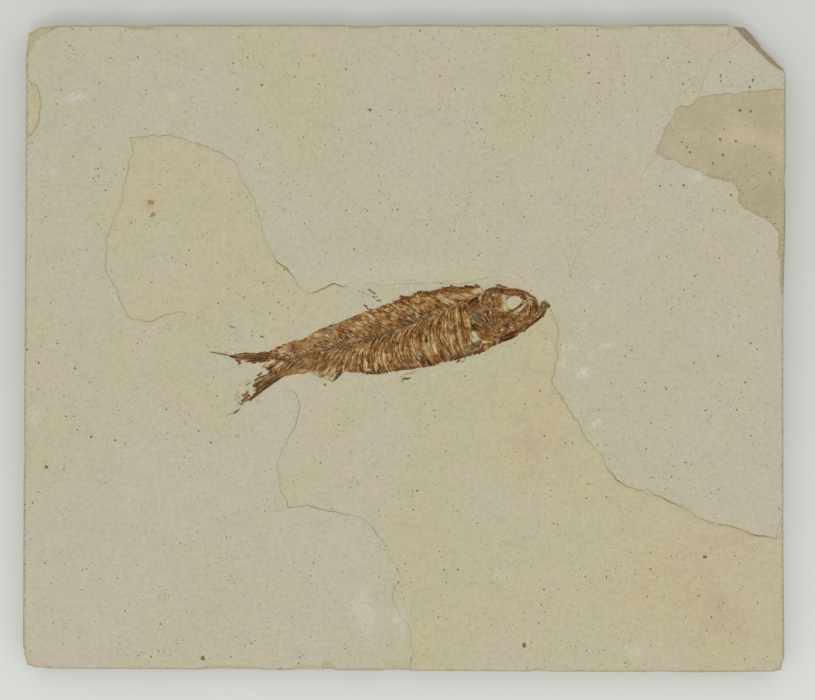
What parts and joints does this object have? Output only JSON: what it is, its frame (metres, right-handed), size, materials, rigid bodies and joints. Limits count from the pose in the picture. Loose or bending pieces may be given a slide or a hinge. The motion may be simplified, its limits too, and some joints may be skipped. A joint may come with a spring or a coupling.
{
  "type": "fossil fish slab",
  "caption": "Flat plate of layered cream limestone with a small herring-like fossil fish lying in its top face.",
  "frame": {"origin": "centre of the slab's bounding box, on its flat back", "axes": "+Z out of the face that shows the fish; +X along the slab's long side, towards the fish's head; +Y towards the fish's back"},
  "size_m": [0.2292, 0.1948, 0.0094],
  "materials": {
    "limestone": "matt split limestone, pale cream with fine dark specks",
    "body_bone": "satin brown fossil bone and skin",
    "head_bone": "satin dark brown fossil bone",
    "fin_bone": "satin dark brown fossil fin rays"
  },
  "bodies": {
    "root": {"slab": "limestone", "trunk": "body_bone", "skull": "head_bone", "gill_cover": "head_bone", "lower_jaw": "head_bone", "pectoral_fin": "fin_bone", "pelvic_fin": "fin_bone", "anal_fin": "fin_bone", "tail_fin": "fin_bone", "back_spine": "fin_bone", "dorsal_ray_1": "fin_bone", "dorsal_ray_2": "fin_bone", "dorsal_ray_3": "fin_bone", "tail_ray_1": "fin_bone", "tail_ray_2": "fin_bone", "tail_ray_3": "fin_bone"}
  },
  "joints": []
}
